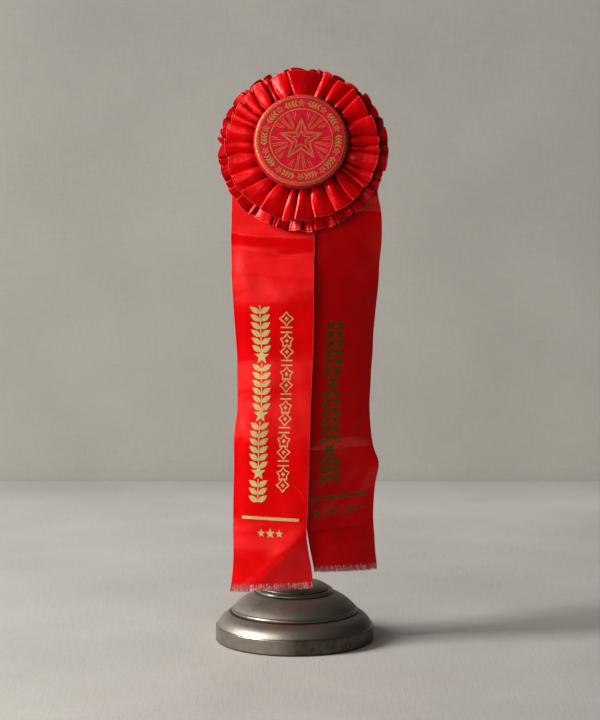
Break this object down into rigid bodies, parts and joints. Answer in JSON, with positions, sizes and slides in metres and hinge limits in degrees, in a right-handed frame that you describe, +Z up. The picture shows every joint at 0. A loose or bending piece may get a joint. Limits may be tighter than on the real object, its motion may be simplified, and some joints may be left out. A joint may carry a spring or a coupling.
{
  "type": "award ribbon",
  "caption": "Pleated satin rosette with a covered button and two hanging tails, clipped to a slim stem on a weighted round metal stand.",
  "frame": {"origin": "centre of the felt's underside, where the stand rests", "axes": "+Z up along the stem, -Y towards the side that the rosette faces, +X to the viewer's right"},
  "size_m": [0.0818, 0.075, 0.2721],
  "materials": {
    "pewter": "satin antique pewter, darkened in the grooves",
    "iron": "rough sand cast",
    "felt": "pressed wool felt",
    "steel": "drawn steel, lightly dulled",
    "nickel": "dull nickel plate",
    "rubber": "matt",
    "button_cloth": "crimson satin with gold printed pattern",
    "tin": "tinned steel",
    "wadding": "cotton wadding",
    "card": "aged uncoated card",
    "red_satin": "glossy acetate satin ribbon"
  },
  "bodies": {
    "stand": {"base_shell": "pewter", "base_cap": "pewter", "base_weight": "iron", "felt_pad": "felt", "stem": "steel", "stem_washer": "steel", "stem_nut": "steel", "clip_body": "nickel", "clip_pad_rear": "rubber", "clip_pin": "nickel", "clip_spring": "nickel"},
    "clip_jaw": {"clip_jaw": "nickel", "clip_pad_front": "rubber"},
    "rosette": {"button_cover": "button_cloth", "button_shell": "tin", "button_pad": "wadding", "button_back": "card", "centre_rivet": "tin", "ruffle_front": "red_satin", "middle_card": "card", "ruffle_rear": "red_satin", "backing_card": "card", "streamer_left_top": "red_satin", "streamer_right_top": "red_satin", "staples": "steel", "back_cover": "card", "hanging_tab": "card", "pin_bar": "tin", "pin_pivot": "tin"},
    "pin_needle": {"pin_needle": "tin"},
    "streamer_left": {"streamer_left": "red_satin"},
    "streamer_right": {"streamer_right": "red_satin"}
  },
  "joints": [
    {"name": "clip_open", "type": "hinge", "parent": "stand", "child": "clip_jaw", "pos_m": [-0.00039, -0.00498, 0.2025], "axis": [0.9969, -0.0785, 0], "range_deg": [0, 8], "stiffness_Nm_per_rad": 0.08, "springref_deg": -8.59},
    {"name": "rosette_lift", "type": "slide", "parent": "stand", "child": "rosette", "axis": [0, 0, 1], "range_m": [0, 0.03]},
    {"name": "needle_swing", "type": "hinge", "parent": "rosette", "child": "pin_needle", "pos_m": [-0.0081, -0.00098, 0.24349], "axis": [0.0163, 0.2073, 0.9781], "range_deg": [0, 100]},
    {"name": "tail_left_swing", "type": "hinge", "parent": "rosette", "child": "streamer_left", "pos_m": [0.00371, -0.01661, 0.19233], "axis": [-0.9969, 0.0785, 0], "range_deg": [0, 35]},
    {"name": "tail_right_swing", "type": "hinge", "parent": "rosette", "child": "streamer_right", "pos_m": [0.0249, 0, 0.192], "axis": [-0.809, -0.5878, 0], "range_deg": [0, 35]}
  ]
}
